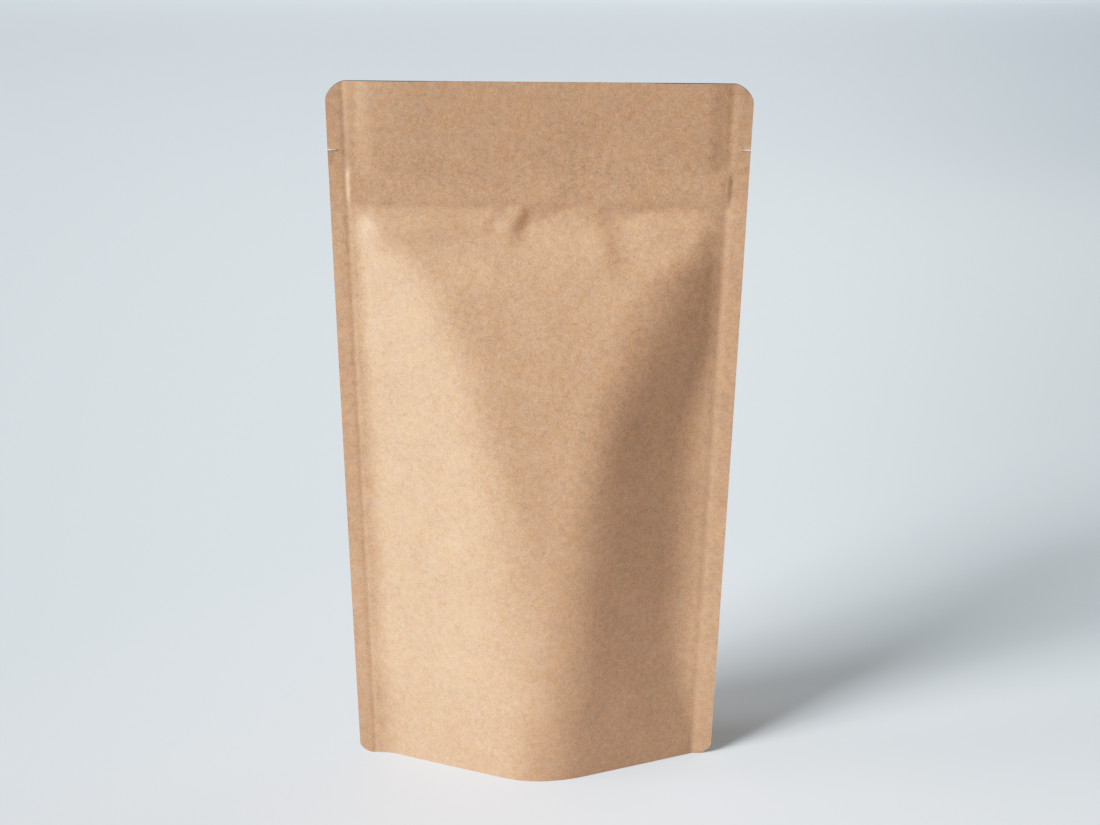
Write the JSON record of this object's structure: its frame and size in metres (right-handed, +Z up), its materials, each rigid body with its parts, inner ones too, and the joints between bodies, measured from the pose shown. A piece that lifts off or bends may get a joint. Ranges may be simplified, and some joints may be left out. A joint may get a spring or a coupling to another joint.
{
  "type": "kraft stand-up zipper pouch",
  "caption": "Shut and filled kraft paper stand-up pouch with flat side seals, tear notches, a press-to-close zipper band and an opened gusset foot.",
  "frame": {"origin": "middle of the pouch's footprint, on the surface it stands on", "axes": "+Z up the pouch, X across it from side seal to side seal, -Y out of the front panel"},
  "size_m": [0.1298, 0.0402, 0.225],
  "materials": {
    "kraft_paper": "matt natural brown kraft paper with fine fibres and a faint sheen at the pressed seals"
  },
  "bodies": {
    "root": {"pouch": "kraft_paper"}
  },
  "joints": []
}
